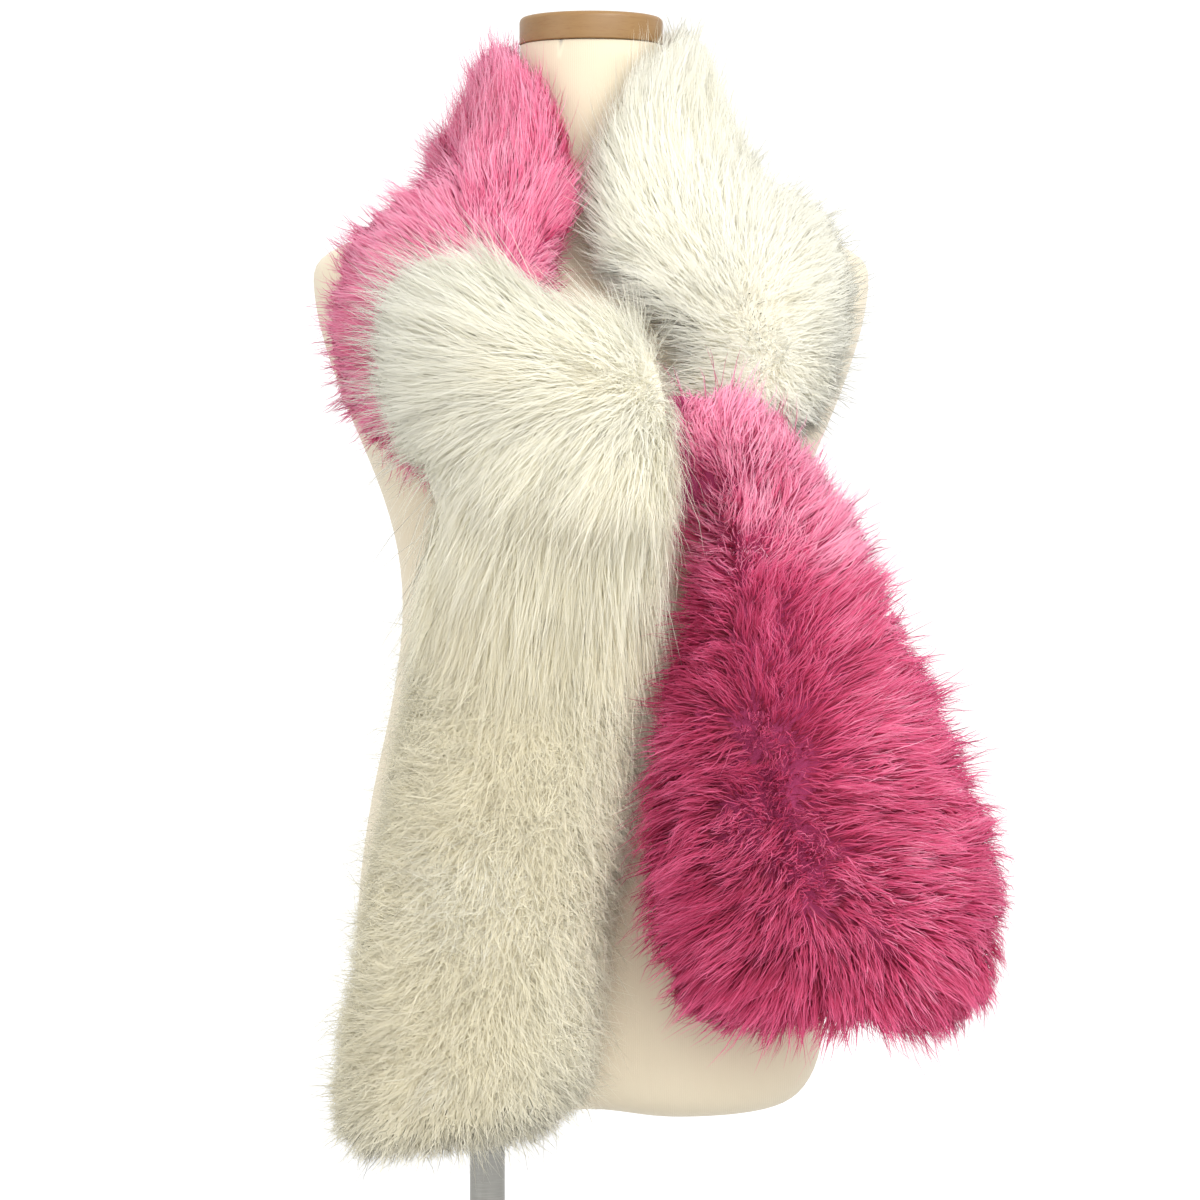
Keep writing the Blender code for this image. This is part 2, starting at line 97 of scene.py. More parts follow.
class Finish:
    """A material, made from one method that adds a node with its settings and inputs."""

    def __init__(self, name, roughness, metallic=0.0):
        self.material = bpy.data.materials.new(name)
        self.material.use_nodes = True
        self.tree = self.material.node_tree
        self.shader = self.tree.nodes["Principled BSDF"]
        self.shader.inputs["Roughness"].default_value = roughness
        self.shader.inputs["Metallic"].default_value = metallic

    def node(self, kind, settings=(), **inputs):
        made = self.tree.nodes.new(kind)
        for name, value in dict(settings).items():
            if name == "stops":
                self.set_stops(made.color_ramp.elements, value)
            else:
                setattr(made, name, value)
        for name, value in inputs.items():
            self.feed(made.inputs[name], value)
        return made

    def set_stops(self, elements, stops):
        while len(elements) < len(stops):
            elements.new(0.5)
        for element, (place, colour) in zip(elements, stops):
            element.position = place
            element.color = (*colour, 1.0)

    def feed(self, socket, value):
        if isinstance(value, Field):
            value = value.socket
        if isinstance(value, bpy.types.NodeSocket):
            self.tree.links.new(value, socket)
        else:
            socket.default_value = value

    def place(self):
        return self.node("ShaderNodeTexCoord").outputs["Object"]

    def cloud(self, scale, detail=3.0, where=None):
        """Soft noise from 0 to 1 over the surface."""
        made = self.node("ShaderNodeTexNoise", Vector=where or self.place(), Scale=scale, Detail=detail)
        return Field(made.outputs["Fac"])

    def stretched(self, x, y, z):
        """The place on the piece, with the pattern's scale along each axis."""
        return self.node("ShaderNodeMapping", Vector=self.place(), Scale=(x, y, z)).outputs[0]

    def blend(self, share, first, second):
        """The colour between two, by a share from 0 to 1."""
        made = self.node("ShaderNodeMix", {"data_type": "RGBA"})
        for number, value in ((0, share), (6, first), (7, second)):
            value = (*value, 1.0) if isinstance(value, tuple) else value
            self.feed(made.inputs[number], value)
        return made.outputs[2]

    def colour(self, value):
        self.feed(self.shader.inputs["Base Color"], value)

    def rise(self, height, strength, distance):
        """Small relief: the height's bump feeds the normal."""
        made = self.node("ShaderNodeBump", Height=height, Strength=strength, Distance=distance)
        self.feed(self.shader.inputs["Normal"], made.outputs[0])


def merged_shape(node):
    """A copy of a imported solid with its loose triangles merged."""
    shape = bmesh.new()
    shape.from_mesh(nodes[node].data)
    bmesh.ops.remove_doubles(shape, verts=shape.verts, dist=MERGE_REACH)
    return shape


def turned_piece(node, name, finish):
    """A hard piece again as one skin: its flat faces are whole and its round ones smooth."""
    shape = merged_shape(node)
    bmesh.ops.dissolve_limit(shape, angle_limit=FLAT_ANGLE, verts=shape.verts, edges=shape.edges)
    return placed_piece(shape, node, name, finish)


def placed_piece(shape, node, name, finish):
    """Makes the piece from its shape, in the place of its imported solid."""
    mesh = bpy.data.meshes.new(name)
    shape.to_mesh(mesh)
    shape.free()
    mesh.shade_smooth()
    mesh.set_sharp_from_angle(angle=SHARP_ANGLE)
    mesh.materials.append(finish.material)
    item = bpy.data.objects.new(name, mesh)
    bpy.context.scene.collection.objects.link(item)
    item.modifiers.new("even_shading", "WEIGHTED_NORMAL").keep_sharp = True
    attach(item, "root")
    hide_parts(node)
    return item


brushed = Finish("brushed_steel", 0.34, 1.0)
turning = brushed.cloud(1.0, 2.0, brushed.stretched(60, 60, 2600))
brushed.colour(brushed.blend(turning, (0.22, 0.215, 0.20), (0.42, 0.415, 0.39)))
brushed.feed(brushed.shader.inputs["Roughness"], turning * 0.22 + 0.24)
brushed.rise(turning, 0.15, 0.0002)
turned_piece("pole", "pole_tube", brushed)
turned_piece("pole_socket", "pole_collar", brushed)

coated = Finish("plate_coating", 0.5)
coated.colour(coated.blend(coated.cloud(7.0), (0.40, 0.395, 0.38), (0.47, 0.465, 0.45)))
coated.rise(coated.cloud(1400.0, 1.0), 0.25, 0.0002)
turned_piece("base_plate", "plate_disc", coated)

# Dress form: a moulded torso without arms under a stretch cover of cream cotton jersey, pulled
# tight and stapled under the thighs.  The fine rib of the knit runs upright, and the cloth has
# gone a little yellow where hands hold it.
JOIN_ANGLE = 0.9
JOIN_SHAPE = 1.4
CREASE_ANGLE = 0.7
jersey = Finish("form_jersey", 0.88)
yellowed = jersey.cloud(5.0, 2.0) * 0.7 + jersey.cloud(38.0, 4.0) * 0.3
bands = {"wave_type": "BANDS", "bands_direction": "X"}
rib = jersey.node("ShaderNodeTexWave", bands, Vector=jersey.place(), Scale=220.0, Distortion=1.2)
loops = jersey.cloud(1.0, 1.0, jersey.stretched(900, 900, 1500))
stitches = Field(rib.outputs["Fac"]) * 0.6 + loops * 0.4
worn = jersey.blend(yellowed, (0.70, 0.62, 0.48), (0.64, 0.55, 0.40))
jersey.colour(jersey.blend(stitches * 0.18, worn, (0.60, 0.53, 0.39)))
jersey.rise(stitches, 0.30, 0.0004)
jersey.shader.inputs["Sheen Weight"].default_value = 0.25
cover = merged_shape("dress_form")
bmesh.ops.join_triangles(
    cover, faces=cover.faces, angle_face_threshold=JOIN_ANGLE, angle_shape_threshold=JOIN_SHAPE
)
creases = cover.edges.layers.float.new("crease_edge")
for edge in cover.edges:
    if edge.calc_face_angle(0.0) > CREASE_ANGLE:
        edge[creases] = 1.0
torso = placed_piece(cover, "dress_form", "form_torso", jersey)
tight = torso.modifiers.new("tight_cover", "SUBSURF")
tight.levels = tight.render_levels = 1
torso.modifiers.move(1, 0)

# Neck cap: a disc of oiled beech screwed on the neck.  The grain runs across the disc, and the
# short dark flecks of beech show on its side.
beech = Finish("oiled_beech", 0.42)
grain = beech.cloud(1.0, 4.0, beech.stretched(14, 90, 160))
flecks = beech.cloud(1.0, 2.0, beech.stretched(160, 160, 1100))
plain = beech.blend(grain, (0.22, 0.115, 0.036), (0.30, 0.172, 0.062))
spots = beech.node("ShaderNodeValToRGB", {"stops": [(0.55, (0, 0, 0)), (0.66, (1, 1, 1))]}, Fac=flecks)
beech.colour(beech.blend(Field(spots.outputs[0]) * 0.45, plain, (0.22, 0.10, 0.03)))
beech.rise(flecks, 0.15, 0.0003)
turned_piece("neck_cap", "cap_disc", beech)

# Scarf, white half round the neck: a tube of fur cloth, knitted backing with a deep acrylic pile,
# laid from the nape over the right shoulder and down under the knot.  Nothing fixes it.
STRIPS = (("pink_neck_stretch", "pink_tail"), ("white_neck_stretch",), ("white_knot_flap", "white_tail"))
CLOTH_WALL = 0.0018
LEAST_CORE = 0.0045
CAP_FACES = 20
NORMAL_ROUNDS = 3
DEPTH_ROUNDS = 4

# Between the knot and this stretch the pile bridges a hollow: its middle, how far it reaches,
# how often the crease there is smoothed and how high the pile is lifted.
HOLLOW = (0.058, -0.100, 0.785)
HOLLOW_SIZE = 0.060
HOLLOW_ROUNDS = 30
HOLLOW_LIFT = 1.7

# Behind the neck the pile falls over the lower edge and mingles across the colour seam.
BEHIND_Y = 0.02
HEM_FALL = 1.1
SEAM_REACH = 0.014
SEAM_MINGLE = 1.2

# A ribbon's shares of its length, by its number of bends, and its width at all but its tip.
RIBBON_STEPS = {2: np.array([0.0, 0.55, 1.0]), 3: np.array([0.0, 0.38, 0.72, 1.0])}
RIBBON_TAPER = {2: np.array([0.9, 0.9]), 3: np.array([0.85, 1.0, 0.62])}

# The pile is thinner where something lies within this reach of it.  Some hairs are short and wide
# underfur and some long guard hairs.  At the sides the tips lie closer than in front, and none
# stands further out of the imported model's box than this.
FREE_REACH = 0.04
THINNEST = 0.25
UNDERFUR_SHARE = 0.30
UNDERFUR_WIDTH = 1.7
GUARD_SHARE = 0.09
GUARD_RISE = (0.003, 0.012)
WISP_SIZE = 0.0055
COMB_REACH = 0.034
DRIFT_SIZE = 0.045
FINE_DRIFT_SIZE = 0.014
SEAM_DRIFT_SIZE = 0.005
SIDE_LIFT = 0.5
LAID_UNDER = -0.008
PROUD = 0.010
YELLOW_START = 0.80
YELLOW_LEAST = 0.12

# A comb is a place in the front view, the way the pile is brushed there, and its tone from 0 to 1,
# which is painted light and shade: low where shade falls, high where the lamps light the pile.  A
# yellow mark yellows the pile about a place: most are stains, and one is painted shade where the
# white tail comes out from under the flap.  A trim lays the pile flat.  A pile has this many
# ribbons with so many bends.  Its cloth lies depth under the stretch's outside, it is length long
# and keeps this share of its height over the outside, up to off.  Locks are lock wide and, like
# wisps, draw together.  Rough and fuzz turn its way, spread changes its tone, and own_face is how
# much each ribbon's face shows in its shading, which looks up by at least up.
Comb = namedtuple("Comb", "x z across up tone")
Pile = namedtuple(
    "Pile", "count bends width depth length keep off lock pull wisp uneven rough fuzz spread own_face up"
)
YellowMark = namedtuple("YellowMark", "x z radius amount")
Trim = namedtuple("Trim", "x z wide tall amount")


def open_ends(shape, keep_lowest):
    """Takes off the flat ends, where the cloth goes on or the tube is open."""
    planes = {}
    for face in shape.faces:
        normal = face.normal
        offset = normal.dot(face.calc_center_median())
        key = tuple(round(part, 2) for part in normal) + (round(offset, 3),)
        planes.setdefault(key, []).append(face)
    ends = [faces for faces in planes.values() if len(faces) >= CAP_FACES]
    ends.sort(key=lambda faces: faces[0].calc_center_median().z)
    for faces in ends[1 if keep_lowest else 0 :]:
        bmesh.ops.delete(shape, geom=faces, context="FACES")


def outer_shape(name):
    """The stretch's outside, to the tips of the pile, without its open ends."""
    shape = merged_shape(name)
    shape.normal_update()
    open_ends(shape, name.endswith("tail"))
    shape.normal_update()
    return shape


def fill_hollow(shape):
    """Evens out the crease beside the knot, which the pile bridges."""
    near = [v for v in shape.verts if (v.co - Vector(HOLLOW)).length < HOLLOW_SIZE]
    for _ in range(HOLLOW_ROUNDS):
        bmesh.ops.smooth_vert(
            shape, verts=near, factor=0.5, use_axis_x=True, use_axis_y=True, use_axis_z=True
        )
    shape.normal_update()


def tree_of(shapes):
    """One search tree of several meshes' faces."""
    points, faces = [], []
    for shape in shapes:
        start = len(points)
        shape.verts.index_update()
        points += [v.co.copy() for v in shape.verts]
        faces += [[start + v.index for v in face.verts] for face in shape.faces]
    return BVHTree.FromPolygons(points, faces)


outsides = {name: outer_shape(name) for strip in STRIPS for name in strip}
fill_hollow(outsides["white_neck_stretch"])
strip_trees = {name: tree_of([outsides[n] for n in strip]) for strip in STRIPS for name in strip}


def evened_normals(shape, rounds):
    """Vertex normals, averaged over their neighbours that many times."""
    normals = np.array([v.normal for v in shape.verts])
    pairs = np.array([[v.index for v in edge.verts] for edge in shape.edges])
    for _ in range(rounds):
        total = normals.copy()
        np.add.at(total, pairs[:, 0], normals[pairs[:, 1]])
        np.add.at(total, pairs[:, 1], normals[pairs[:, 0]])
        normals = total / np.linalg.norm(total, axis=1)[:, None]
    return normals


def cloth_points(shape, normals, pile_depth):
    """Where the cloth lies under each point of the outside: a pile's depth further in."""
    tree = BVHTree.FromBMesh(shape)
    depths = np.full(len(normals), pile_depth)
    for vert, normal in zip(shape.verts, normals):
        inward = Vector(-normal)
        through = tree.ray_cast(vert.co + 0.001 * inward, inward)[3]
        if through is not None:
            depths[vert.index] = min(pile_depth, max(0.001, through / 2 - LEAST_CORE))
    pairs = np.array([[v.index for v in edge.verts] for edge in shape.edges])
    for _ in range(DEPTH_ROUNDS):
        total, counts = depths.copy(), np.ones(len(depths))
        for a, b in ((0, 1), (1, 0)):
            np.add.at(total, pairs[:, a], depths[pairs[:, b]])
            np.add.at(counts, pairs[:, a], 1)
        depths = total / counts
    points = np.array([v.co for v in shape.verts])
    return points - depths[:, None] * normals


def make_cloth(name, shape, points, finish):
    """The tube of backing cloth, with its wall."""
    tube = shape.copy()
    for vert, point in zip(tube.verts, points):
        vert.co = point
    bmesh.ops.smooth_vert(
        tube, verts=tube.verts, factor=0.5, use_axis_x=True, use_axis_y=True, use_axis_z=True
    )
    bmesh.ops.recalc_face_normals(tube, faces=tube.faces)
    mesh = bpy.data.meshes.new(name)
    tube.to_mesh(mesh)
    tube.free()
    mesh.shade_smooth()
    mesh.materials.append(finish.material)
    cloth = bpy.data.objects.new(name, mesh)
    bpy.context.scene.collection.objects.link(cloth)
    wall = cloth.modifiers.new("wall", "SOLIDIFY")
    wall.thickness = CLOTH_WALL
    wall.offset = -1.0
    return cloth


def openness(name, shape):
    """How far each face is free of what lies against it, from 0 to 1."""
    others = []
    for other, item in nodes.items():
        if other == name or any({other, name} <= set(strip) for strip in STRIPS):
            continue
        copy = bmesh.new()
        copy.from_mesh(item.data)
        others.append(copy)
    tree = tree_of(others)
    found = []
    for face in shape.faces:
        centre = face.calc_center_median()
        distance = tree.ray_cast(centre, face.normal, FREE_REACH)[3]
        found.append(1.0 if distance is None else min(1.0, distance / FREE_REACH))
    for copy in others:
        copy.free()
    return np.array(found)


def combed(places, combs, reach):
    """The way the pile is brushed at each place, and its tone, from the nearest rows."""
    rows = np.array(combs)
    gaps = ((places[:, None, [0, 2]] - rows[None, :, :2]) ** 2).sum(2)
    shares = np.exp(-gaps / (2 * reach**2)) + 1e-9
    shares /= shares.sum(1)[:, None]
    way = np.zeros((len(places), 3))
    way[:, 0] = shares @ rows[:, 2]
    way[:, 2] = shares @ rows[:, 3]
    return way, shares @ rows[:, 4]


def drift(places, size, seed):
    """A smooth random vector at each place."""
    noise.seed_set(seed)
    shift = Vector((seed * 7.3, seed * 3.1, seed * 1.7))
    return np.array([noise.noise_vector(Vector(p) / size + shift) for p in places])


def brush_nape(way, places, facing, seed):
    """Behind the neck the pile falls over the lower edge and mingles at the colour seam."""
    behind = places[:, 1] > BEHIND_Y
    under_edge = np.clip((0.25 - facing[:, 2]) / 0.5, 0, 1) * behind
    way[:, 2] -= under_edge * (HEM_FALL + way[:, 2])
    at_seam = np.exp(-((places[:, 0] / SEAM_REACH) ** 2)) * behind
    way[:, 0] += SEAM_MINGLE * at_seam * drift(places, SEAM_DRIFT_SIZE, seed + 2)[:, 0]


def unit(vectors):
    return vectors / np.maximum(np.linalg.norm(vectors, axis=-1, keepdims=True), 1e-9)


def nearest_of(spots, leaders):
    """The number of the nearest leader for each spot."""
    finder = KDTree(len(leaders))
    for number, leader in enumerate(leaders):
        finder.insert(spots[leader], number)
    finder.balance()
    return np.array([finder.find(spot)[1] for spot in spots])


def laid_tips(stretch, aims, pile):
    """The aims drawn towards the stretch's outside, and which way is out there."""
    tree = strip_trees[stretch]
    tips, ahead = np.empty_like(aims), np.empty_like(aims)
    for i, aim in enumerate(aims):
        near, normal, _, _ = tree.find_nearest(Vector(aim))
        over = (Vector(aim) - near).dot(normal)
        front = SIDE_LIFT + (1 - SIDE_LIFT) * (1 - abs(normal.x)) ** 2
        if (Vector(aim) - Vector(HOLLOW)).length < HOLLOW_SIZE:
            front = HOLLOW_LIFT
        tips[i] = near + normal * min(front * pile.off, max(LAID_UNDER, front * pile.keep * over))
        ahead[i] = normal
    return tips, ahead


def held_in(points):
    """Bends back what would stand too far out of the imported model's box."""
    for side in range(3):
        for edge, way in ((cad_low[side], -1), (cad_high[side], 1)):
            over = np.maximum(0, way * (points[..., side] - edge))
            points[..., side] -= way * (over - PROUD * (1 - np.exp(-over / PROUD)))


def yellow_share(places, yellow_marks):
    """How yellow each place is, from 0 to 1."""
    found = np.zeros(len(places))
    for yellow_mark in yellow_marks:
        gap = np.hypot(places[:, 0] - yellow_mark.x, places[:, 2] - yellow_mark.z)
        found = np.maximum(found, yellow_mark.amount * np.exp(-((gap / yellow_mark.radius) ** 2)))
    return found


def flattened(places, trims):
    """How flat the pile lies at each place, from 0 to 1."""
    found = np.zeros(len(places))
    for trim in trims:
        gap = np.hypot((places[:, 0] - trim.x) / trim.wide, (places[:, 2] - trim.z) / trim.tall)
        found = np.maximum(found, trim.amount * np.clip(2.0 - 2.0 * gap, 0, 1))
    return found[:, None]


def sown(stretch, shape, normals, cloth, pile, random):
    """Random places on the stretch's outside and on the cloth below, and the way out there."""
    corners = np.array([[v.index for v in face.verts] for face in shape.faces])
    outside = np.array([v.co for v in shape.verts])
    areas = np.array([face.calc_area() for face in shape.faces])
    weights = areas * (THINNEST + (1 - THINNEST) * openness(stretch, shape))
    chosen = random.choice(len(corners), pile.count, p=weights / weights.sum())
    shares = random.dirichlet((1, 1, 1), pile.count)[:, :, None]
    tops = (outside[corners[chosen]] * shares).sum(1)
    roots = (cloth[corners[chosen]] * shares).sum(1)
    facing = unit((normals[corners[chosen]] * shares).sum(1))
    return tops, roots, facing, areas.sum()


def widened(lines, facing, under, pile, random):
    """The ribbons' corners round their middle lines, and the way that each one faces."""
    along = unit(lines[:, -1] - lines[:, 0])
    roll = random.normal(0, 0.6, len(lines))[:, None]
    sideways = unit(np.cross(along, facing))
    sideways = unit(np.cos(roll) * sideways + np.sin(roll) * np.cross(along, sideways))
    flat = np.cross(sideways, along)
    flat *= np.sign((flat * facing).sum(1))[:, None]
    sideways = np.cross(along, flat)
    wide = pile.width * random.uniform(0.5, 1.2, len(lines)) * np.where(under, UNDERFUR_WIDTH, 1.0)
    half = wide[:, None, None] / 2 * RIBBON_TAPER[pile.bends][None, :, None] * sideways[:, None]
    points = np.empty((len(lines), 2 * pile.bends + 1, 3))
    points[:, 0:-1:2] = lines[:, :-1] - half
    points[:, 1:-1:2] = lines[:, :-1] + half
    points[:, -1] = lines[:, -1]
    return points, flat


def chart_places(tone, tops, lock, locks, yellow_marks, pile, random):
    """Each ribbon's place on the colour chart: its tone, of painted light and shade, or past the tones a
    yellow mark.
    """
    tone = tone + 0.6 * pile.spread * random.standard_normal(locks)[lock]
    tone += pile.spread * random.standard_normal(len(tops))
    places = 0.02 + (YELLOW_START - 0.04) * np.clip(tone, 0, 1)
    amount = yellow_share(tops, yellow_marks) * random.uniform(0.4, 1.0, len(tops))
    yellow = amount > YELLOW_LEAST
    places[yellow] = YELLOW_START + (0.98 - YELLOW_START) * np.clip(amount[yellow], 0, 1)
    return places


def grow_pile(name, stretch, shape, normals, cloth, combs, pile, finish, seed, yellow_marks, trims):
    """The pile as tapered ribbons, in locks and wisps, from the cloth out to the outside."""
    random = np.random.default_rng(seed)
    count = pile.count
    tops, roots, facing, area = sown(stretch, shape, normals, cloth, pile, random)

    # The way it is brushed, and where that lays the tips
    way, tone = combed(tops, combs, COMB_REACH)
    way += pile.rough * drift(tops, DRIFT_SIZE, seed)
    way += 0.6 * pile.rough * drift(tops, FINE_DRIFT_SIZE, seed + 1)
    way += pile.fuzz * random.standard_normal(way.shape)
    brush_nape(way, tops, facing, seed)
    run = pile.length * random.uniform(0.6, 1.1, count)[:, None]
    tips, ahead = laid_tips(stretch, tops + way * run, pile)

    # Locks, the finer wisps in them, guard hairs and underfur differ in height
    leaders = random.choice(count, int(area / pile.lock**2), replace=False)
    lock = nearest_of(tops, leaders)
    wisp_leaders = random.choice(count, int(area / WISP_SIZE**2), replace=False)
    wisp = nearest_of(tops, wisp_leaders)
    rises = pile.uneven * random.uniform(-1.0, 0.4, len(leaders))[lock]
    rises += 0.5 * pile.uneven * random.uniform(-1.0, 1.0, len(wisp_leaders))[wisp]
    kind = random.random(count)
    guard, under = kind < GUARD_SHARE, kind > 1 - UNDERFUR_SHARE
    rises[guard] += random.uniform(*GUARD_RISE, guard.sum())
    tips += ahead * rises[:, None]
    tips[guard] += 0.25 * (way * run)[guard]
    tips[under] += 0.35 * (roots - tips)[under]
    knees = roots + facing * np.linalg.norm(tops - roots, axis=1)[:, None] + 0.25 * way * run
    flat_share = np.maximum(flattened(tops, trims), flattened(tips, trims))
    tips += flat_share * (roots - tips)
    knees += flat_share * (roots - knees)

    # Each ribbon bends from its root over its knee to its tip, and is drawn to its leaders
    steps = RIBBON_STEPS[pile.bends][None, :, None]
    lines = (1 - steps) ** 2 * roots[:, None] + 2 * steps * (1 - steps) * knees[:, None]
    lines = lines + steps**2 * tips[:, None]
    loose = np.where(guard, 0.4, 1.0) * random.uniform(0.5, 1.0, count)
    held = pile.pull * loose[:, None, None] * steps**1.3
    lines = lines + held * (lines[leaders][lock] - lines)
    held = pile.wisp * loose[:, None, None] * steps**1.6
    lines = lines + held * (lines[wisp_leaders][wisp] - lines)
    lines[:, 1:-1] += 0.0010 * random.standard_normal((count, pile.bends - 1, 3))
    lines = lines + flat_share[:, None] * (lines[:, :1] - lines) * 0.6
    held_in(lines)
    points, flat = widened(lines, facing, under, pile, random)

    # It is shaded mostly as the skin of the pile that it is part of
    shades = facing[:, None] * (1 - steps) + ahead[:, None] * steps
    shades[..., 2] = np.maximum(pile.up, shades[..., 2])
    shades = unit(shades + pile.own_face * flat[:, None])
    looks = np.repeat(shades, 2, axis=1)[:, :-1]
    places = chart_places(tone, tops, lock, len(leaders), yellow_marks, pile, random)
    return ribbon_mesh(name, points, looks, places, pile.bends, finish)


def ribbon_mesh(name, points, looks, tones, bends, finish):
    """One mesh of all the ribbons: quads and a pointed end, with tone and height as its map."""
    count, size = points.shape[:2]
    quads = [(2 * n, 2 * n + 1, 2 * n + 3, 2 * n + 2) for n in range(bends - 1)]
    corners = np.array([corner for quad in quads for corner in quad] + [size - 3, size - 2, size - 1])
    mesh = bpy.data.meshes.new(name)
    mesh.vertices.add(count * size)
    mesh.vertices.foreach_set("co", points.ravel())
    loops = (corners[None] + size * np.arange(count)[:, None]).ravel()
    mesh.loops.add(len(loops))
    mesh.loops.foreach_set("vertex_index", loops)
    starts = (4 * np.arange(bends)[None] + len(corners) * np.arange(count)[:, None]).ravel()
    mesh.polygons.add(len(starts))
    mesh.polygons.foreach_set("loop_start", starts)
    mesh.update(calc_edges=True)
    side = np.array([-1, 1] * bends + [0])[corners] * 0.004
    height = np.repeat(RIBBON_STEPS[bends], 2)[:-1][corners] * 0.98 + 0.01
    chart = mesh.uv_layers.new(name="OFBake")
    places = np.stack([tones[:, None] + side[None], np.tile(height, (count, 1))], axis=2)
    chart.data.foreach_set("uv", places.ravel())
    mesh.shade_smooth()
    mesh.normals_split_custom_set_from_vertices(looks.reshape(-1, 3))
    mesh.materials.append(finish.material)
    item = bpy.data.objects.new(name, mesh)
    bpy.context.scene.collection.objects.link(item)
    return item


def fur_finish(name, levels, glow_share, glow, yellow=None):
    """Pile: each level is a tone, a step of painted light and shade, with its colours from root to tip,
    the roots darker as painted shade deep in the pile.  Yellow marks lie past the tones.
    """
    made = Finish(name, 0.55)
    made.shader.inputs["Specular IOR Level"].default_value = 0.35
    chart = made.node("ShaderNodeUVMap", {"uv_map": "OFBake"}).outputs[0]
    parts = made.node("ShaderNodeSeparateXYZ", Vector=chart)
    across, height = Field(parts.outputs["X"]), Field(parts.outputs["Y"])
    body, last = None, 0.0
    for place, stops in levels:
        colours = made.node("ShaderNodeValToRGB", {"stops": stops}, Fac=height).outputs[0]
        if body:
            span = {"Value": across, "From Min": last, "From Max": place * YELLOW_START}
            colours = made.blend(made.node("ShaderNodeMapRange", **span).outputs[0], body, colours)
        body, last = colours, place * YELLOW_START
    if yellow:
        span = {"Value": across, "From Min": YELLOW_START, "From Max": 1.0}
        body = made.blend(made.node("ShaderNodeMapRange", **span).outputs[0], body, yellow)
    made.colour(body)
    through = made.node("ShaderNodeBsdfTranslucent", Color=(*glow, 1.0))
    mixed = made.node("ShaderNodeMixShader")
    made.feed(mixed.inputs[0], glow_share)
    made.feed(mixed.inputs[1], made.shader.outputs[0])
    made.feed(mixed.inputs[2], through.outputs[0])
    made.feed(made.tree.nodes["Material Output"].inputs["Surface"], mixed.outputs[0])
    return made


def knit_finish(name, light, dark):
    """The backing: a plain warp knit, in rows of tiny loops."""
    made = Finish(name, 0.9)
    loops = made.cloud(900.0, 1.0)
    made.colour(made.blend(loops, dark, light))
    made.rise(loops, 0.4, 0.0005)
    return made


def make_stretch(stretch, combs, pile, fur, backing, seed, yellow_marks=(), trims=()):
    """One stretch: cloth and pile, in the place of its CAD node."""
    shape = outsides[stretch]
    shape.verts.index_update()
    normals = evened_normals(shape, NORMAL_ROUNDS)
    points = cloth_points(shape, normals, pile.depth)
    cloth = make_cloth(stretch + "_cloth", shape, points, backing)
    name = stretch + "_pile"
    fluff = grow_pile(name, stretch, shape, normals, points, combs, pile, fur, seed, yellow_marks, trims)
    for item in (cloth, fluff):
        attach(item, "root")
    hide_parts(stretch)


# Two tones of white: the first is painted shade, darker and yellower, for where shade falls.  In both
# tones the roots are darker than the tips: painted shade deep in the pile.
shaded_white = [(0.0, (0.90, 0.825, 0.625)), (0.45, (0.915, 0.845, 0.65)), (1.0, (0.93, 0.865, 0.675))]
clean_white = [(0.0, (0.965, 0.95, 0.87)), (0.45, (0.98, 0.974, 0.90)), (1.0, (0.988, 0.984, 0.93))]
levels = [(0.0, shaded_white), (1.0, clean_white)]
ivory = fur_finish("ivory_pile", levels, 0.50, (0.96, 0.94, 0.835), (0.91, 0.79, 0.52))
ivory_knit = knit_finish("ivory_backing", (0.94, 0.91, 0.82), (0.88, 0.84, 0.73))
# Tones: painted shade, a little lower on the left, away from the main lamp.
WHITE_NECK_COMBS = [
    Comb(0.000, 0.950, 0.0, 1.0, 0.95),
    Comb(0.030, 0.960, 0.0, 1.0, 0.95),
    Comb(0.080, 0.940, 0.5, 0.9, 0.95),
    Comb(0.005, 0.890, -0.7, 0.8, 0.90),
    Comb(-0.005, 0.840, -1.0, 0.5, 0.85),
    Comb(0.045, 0.870, -0.2, 1.0, 0.95),
    Comb(0.080, 0.850, 0.2, 1.0, 0.95),
    Comb(0.115, 0.860, 0.7, 0.7, 1.00),
    Comb(0.010, 0.800, -1.0, -0.2, 0.85),
    Comb(0.045, 0.830, -0.7, 0.7, 0.90),
    Comb(0.035, 0.800, -0.9, -0.5, 0.90),
    Comb(0.058, 0.790, -0.9, -0.5, 0.90),
    Comb(0.075, 0.772, -1.4, -0.5, 0.95),
    Comb(0.090, 0.768, -1.0, -0.8, 0.95),
    Comb(0.080, 0.805, -0.4, 0.8, 0.95),
    Comb(0.140, 0.830, 0.8, 0.5, 1.00),
    Comb(0.095, 0.790, 0.1, 0.9, 0.90),
    Comb(0.120, 0.790, 0.8, 0.3, 0.90),
    Comb(0.155, 0.790, 1.0, 0.0, 1.00),
    Comb(0.090, 0.750, -0.8, 0.5, 0.95),
    Comb(0.125, 0.735, 0.9, -0.3, 0.95),
    Comb(0.145, 0.715, 0.8, -0.7, 1.00),
]
make_stretch(
    "white_neck_stretch",
    combs=WHITE_NECK_COMBS,
    pile=Pile(
        count=38500, bends=3, width=0.0006, depth=0.022, length=0.046,
        keep=0.75, off=0.020, lock=0.018, pull=0.12, wisp=0.20, uneven=0.004,
        rough=0.25, fuzz=0.14, spread=0.06, own_face=0.05, up=0.35,
    ),
    fur=ivory,
    backing=ivory_knit,
    seed=11,
    yellow_marks=[YellowMark(0.115, 0.800, 0.030, 0.3)],
)
